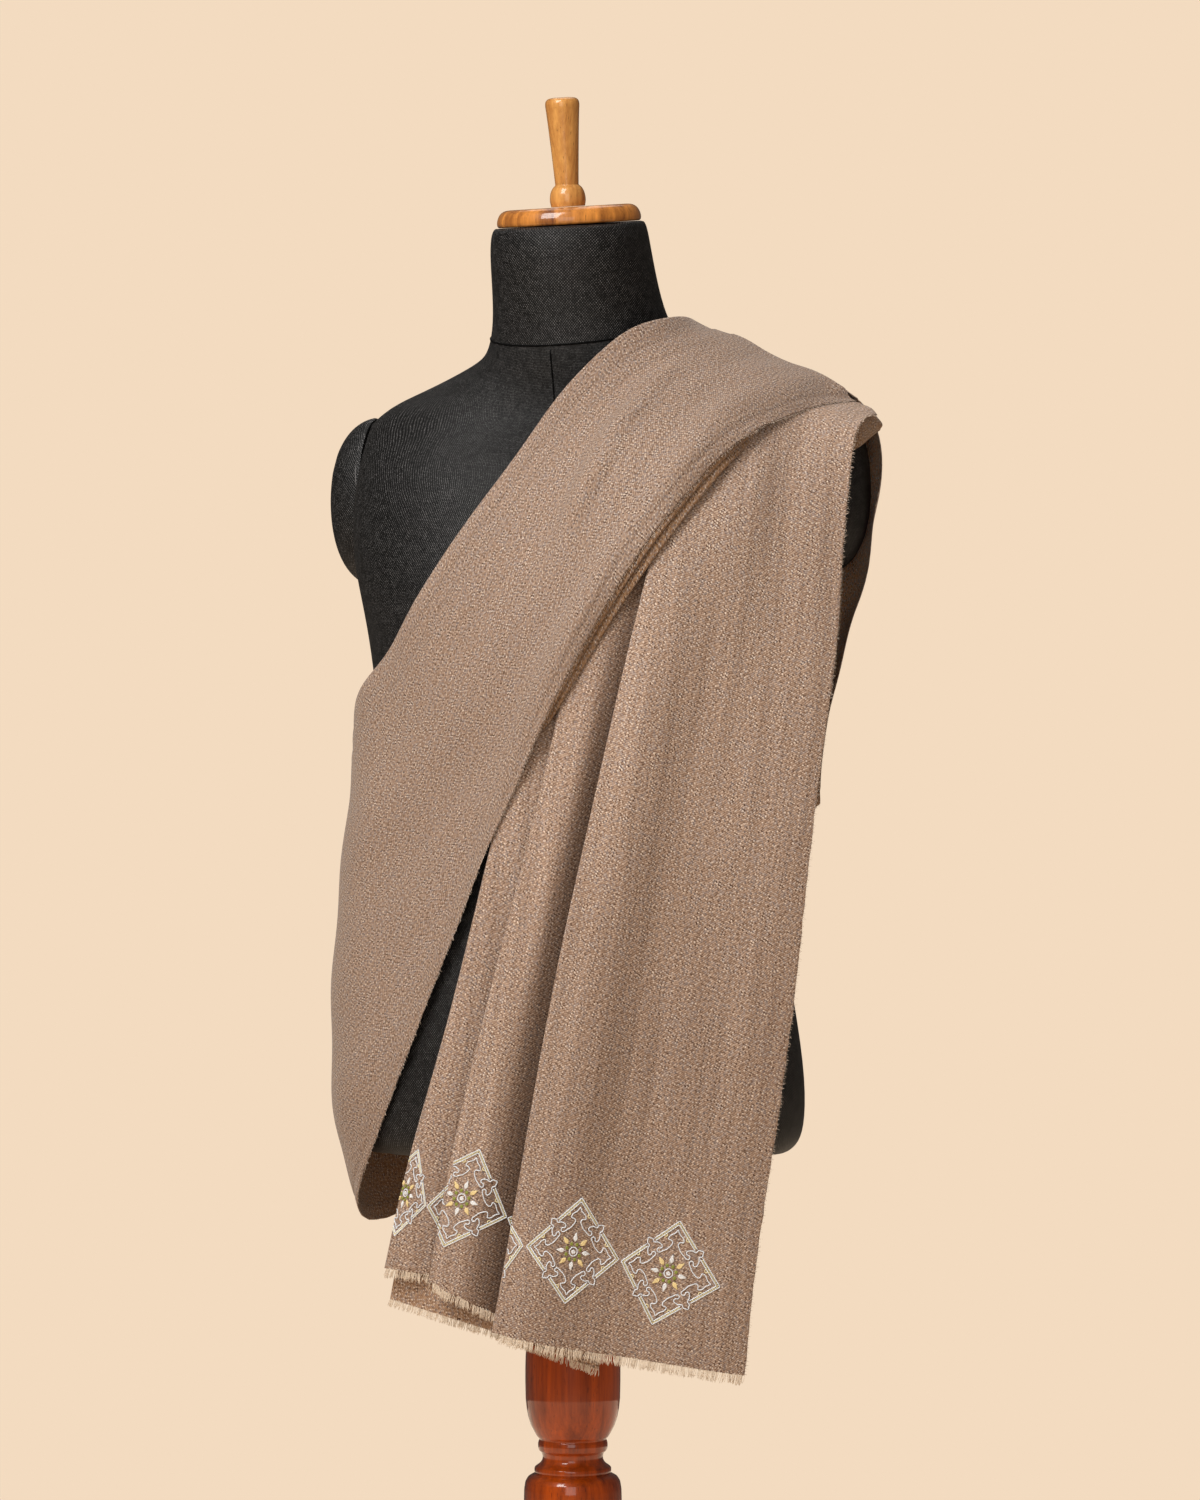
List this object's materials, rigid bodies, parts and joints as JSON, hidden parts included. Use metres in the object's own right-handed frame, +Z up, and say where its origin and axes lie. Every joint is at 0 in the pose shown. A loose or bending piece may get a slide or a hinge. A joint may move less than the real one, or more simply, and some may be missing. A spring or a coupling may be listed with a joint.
{
  "type": "pashmina shawl on a dress form",
  "caption": "Pashmina shawl with a fringed, motif-bordered end, worn as a sash over the left shoulder of a limbless dress form on a turned wooden stand.",
  "frame": {"origin": "on the floor, at the centre of the flat underside of the stand's base, under the post", "axes": "+Z up along the post; the form faces -Y and its left shoulder, which carries the shawl, is at +X"},
  "size_m": [0.4744, 0.342, 1.6371],
  "materials": {
    "black_form_cloth": "black cotton jersey stretched over the form, matt",
    "brown_cap_wood": "mid-brown turned wood, satin varnish",
    "honey_handle_wood": "honey-coloured turned wood, satin varnish",
    "red_brown_stand_wood": "red-brown turned wood, gloss varnish",
    "taupe_pashmina": "fine twill-woven pashmina wool, taupe, soft nap, with an embroidered border of squares",
    "pale_fringe": "short frayed wool fringe"
  },
  "bodies": {
    "root": {"form_torso": "black_form_cloth", "form_arm_cap_left": "black_form_cloth", "form_arm_cap_right": "black_form_cloth", "form_neck_cap": "brown_cap_wood", "form_handle": "honey_handle_wood", "stand_post": "red_brown_stand_wood", "stand_base": "red_brown_stand_wood", "shawl_front_panel": "taupe_pashmina", "shawl_front_inner_layer": "taupe_pashmina", "shawl_back_stretch": "taupe_pashmina", "shawl_hip_turn": "taupe_pashmina", "shawl_sash_fold_lower": "taupe_pashmina", "shawl_sash_fold_upper": "taupe_pashmina", "shawl_front_sash": "taupe_pashmina", "shawl_tail": "taupe_pashmina", "fringe_front_panel": "pale_fringe", "fringe_front_pleat_middle": "pale_fringe", "fringe_front_pleat_left": "pale_fringe", "fringe_front_inner_layer": "pale_fringe", "fringe_tail": "pale_fringe"}
  },
  "joints": []
}
